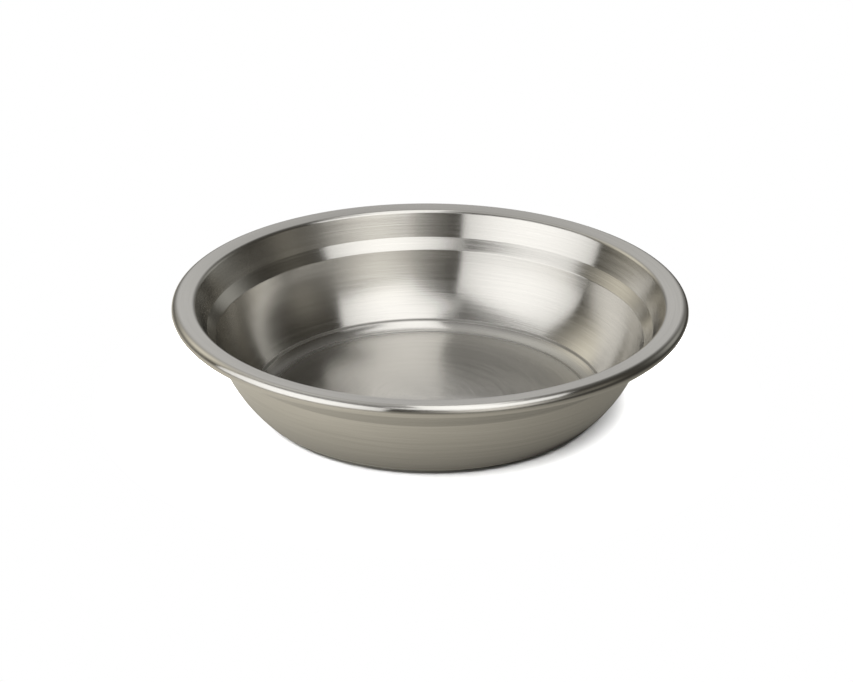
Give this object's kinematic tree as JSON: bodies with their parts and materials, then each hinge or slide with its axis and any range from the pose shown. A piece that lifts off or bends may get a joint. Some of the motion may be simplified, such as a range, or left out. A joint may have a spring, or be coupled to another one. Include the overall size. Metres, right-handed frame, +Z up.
{
  "type": "round catering dish",
  "caption": "Round brushed stainless dish with a stepped, bulging wall, flat floor and wide flange rolled over a wire at the rim; holds hot food or water.",
  "frame": {"origin": "on the standing surface, under the middle of the floor", "axes": "+Z up along the axis of the dish, out of its mouth; X and Y are alike, as the dish is round"},
  "size_m": [0.305, 0.305, 0.0664],
  "materials": {
    "dish_sheet": "brushed round the axis, satin",
    "rim_wire": "plain drawn wire"
  },
  "bodies": {
    "root": {"pressed_dish": "dish_sheet", "rim_wire": "rim_wire"}
  },
  "joints": []
}
